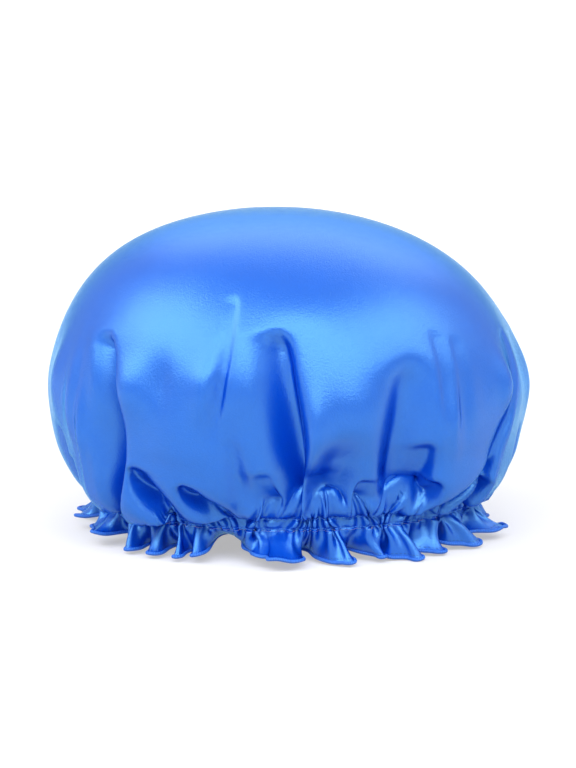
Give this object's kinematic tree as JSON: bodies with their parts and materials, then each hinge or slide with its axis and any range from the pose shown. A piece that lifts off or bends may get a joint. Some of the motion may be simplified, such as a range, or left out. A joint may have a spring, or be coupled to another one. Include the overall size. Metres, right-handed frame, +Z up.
{
  "type": "hair bonnet",
  "caption": "Round satin hair bonnet with a full puffed crown, a lining, an elastic band in a sewn channel and a gathered frill with an overlocked hem.",
  "frame": {"origin": "on the ground under the middle of the bonnet, which stands on its hem", "axes": "+Z up towards the top of the crown, -Y towards the front, +X along the longer way across the opening"},
  "size_m": [0.2784, 0.251, 0.1874],
  "materials": {
    "satin": "glossy satin weave",
    "lining": "satin weave, dull side inwards",
    "tape": "plain woven tape",
    "elastic": "braided, matt",
    "thread": "spun sewing thread"
  },
  "bodies": {
    "root": {"crown_satin": "satin", "crown_lining": "lining", "frill": "satin", "channel_tape": "tape", "elastic_band": "elastic", "elastic_lap_tack": "thread", "channel_stitch_upper": "thread", "channel_stitch_lower": "thread", "hem_overlock": "thread"}
  },
  "joints": []
}
